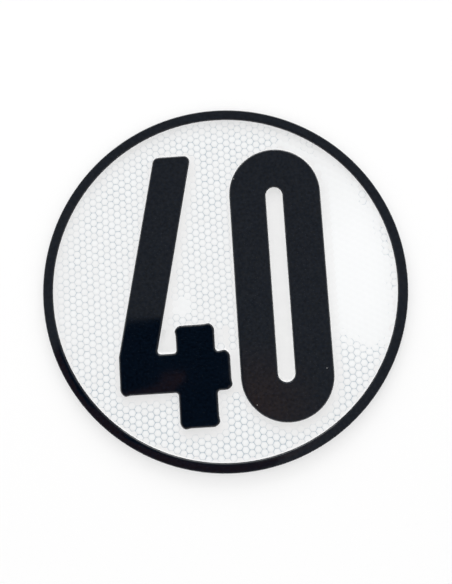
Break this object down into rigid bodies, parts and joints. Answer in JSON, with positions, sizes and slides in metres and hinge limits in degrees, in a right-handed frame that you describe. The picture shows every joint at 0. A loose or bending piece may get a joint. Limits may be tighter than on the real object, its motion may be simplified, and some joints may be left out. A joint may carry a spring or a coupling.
{
  "type": "vehicle speed limit plate",
  "caption": "Round pressed aluminium speed plate with a white reflective honeycomb face, a raised black rim and raised black numerals, hollow behind.",
  "frame": {"origin": "centre of the plate on its flat back plane", "axes": "+Z out of the face, +Y towards the top of the numerals, +X to the right as they are read"},
  "size_m": [0.2, 0.2, 0.0027],
  "materials": {
    "film_faced_sheet": "white reflective film on aluminium, black on the rim and numerals, bare metal behind"
  },
  "bodies": {
    "root": {"embossed_plate": "film_faced_sheet"}
  },
  "joints": []
}
